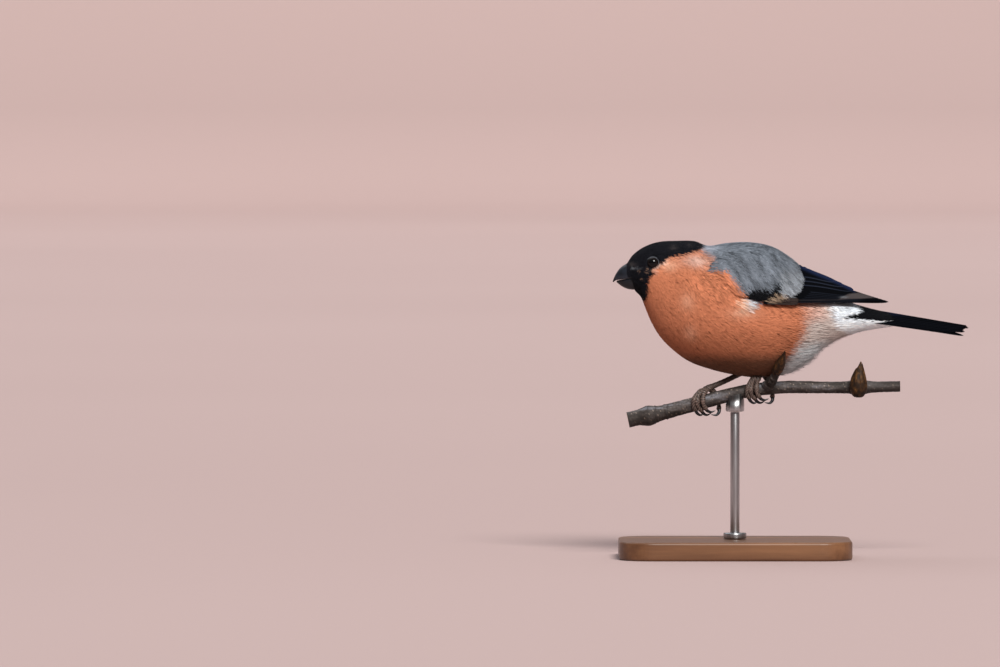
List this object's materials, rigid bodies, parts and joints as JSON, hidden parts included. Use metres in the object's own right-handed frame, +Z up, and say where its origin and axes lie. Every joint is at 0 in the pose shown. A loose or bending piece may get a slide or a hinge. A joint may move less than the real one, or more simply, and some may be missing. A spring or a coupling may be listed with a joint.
{
  "type": "male bullfinch on a perch",
  "caption": "Life-size still model of a male bullfinch gripping a short budded twig, on a flat display stand with a rod.",
  "frame": {"origin": "middle of the stand base's underside", "axes": "+Z up, -X the way the bird faces, -Y the bird's left side"},
  "size_m": [0.1538, 0.066, 0.1367],
  "materials": {
    "black_plumage": "soft black feathers with a faint blue sheen",
    "orange_plumage": "soft orange-salmon feathers",
    "grey_plumage": "soft ash-grey feathers",
    "white_plumage": "soft white feathers",
    "flight_feathers": "smooth blue-black vanes",
    "horn": "smooth black horn",
    "leg_skin": "scaly dark brown skin",
    "eye": "wet, nearly black",
    "bark": "grey-brown bark with pale specks",
    "bud_scales": "brown bud scales",
    "stand_wood": "satin stained wood",
    "stand_metal": "brushed steel"
  },
  "bodies": {
    "root": {"stand_base": "stand_wood", "stand_foot_ring": "stand_metal", "stand_rod": "stand_metal", "stand_cup": "stand_metal", "perch_twig": "bark", "perch_bud_near": "bud_scales", "perch_bud_rear": "bud_scales", "head": "black_plumage", "neck": "orange_plumage", "breast": "orange_plumage", "belly": "orange_plumage", "vent": "white_plumage", "back": "grey_plumage", "rump": "white_plumage", "tail_coverts": "white_plumage", "tail": "flight_feathers", "bill_upper": "horn", "bill_lower": "horn", "eye_left": "eye", "wing_left": "grey_plumage", "flight_left": "flight_feathers", "thigh_left": "orange_plumage", "shank_left": "leg_skin", "foot_left": "leg_skin", "claw_left_toe1": "horn", "claw_left_toe2": "horn", "claw_left_toe3": "horn", "claw_left_toe4": "horn", "eye_right": "eye", "wing_right": "grey_plumage", "flight_right": "flight_feathers", "thigh_right": "orange_plumage", "shank_right": "leg_skin", "foot_right": "leg_skin", "claw_right_toe1": "horn", "claw_right_toe2": "horn", "claw_right_toe3": "horn", "claw_right_toe4": "horn"}
  },
  "joints": []
}
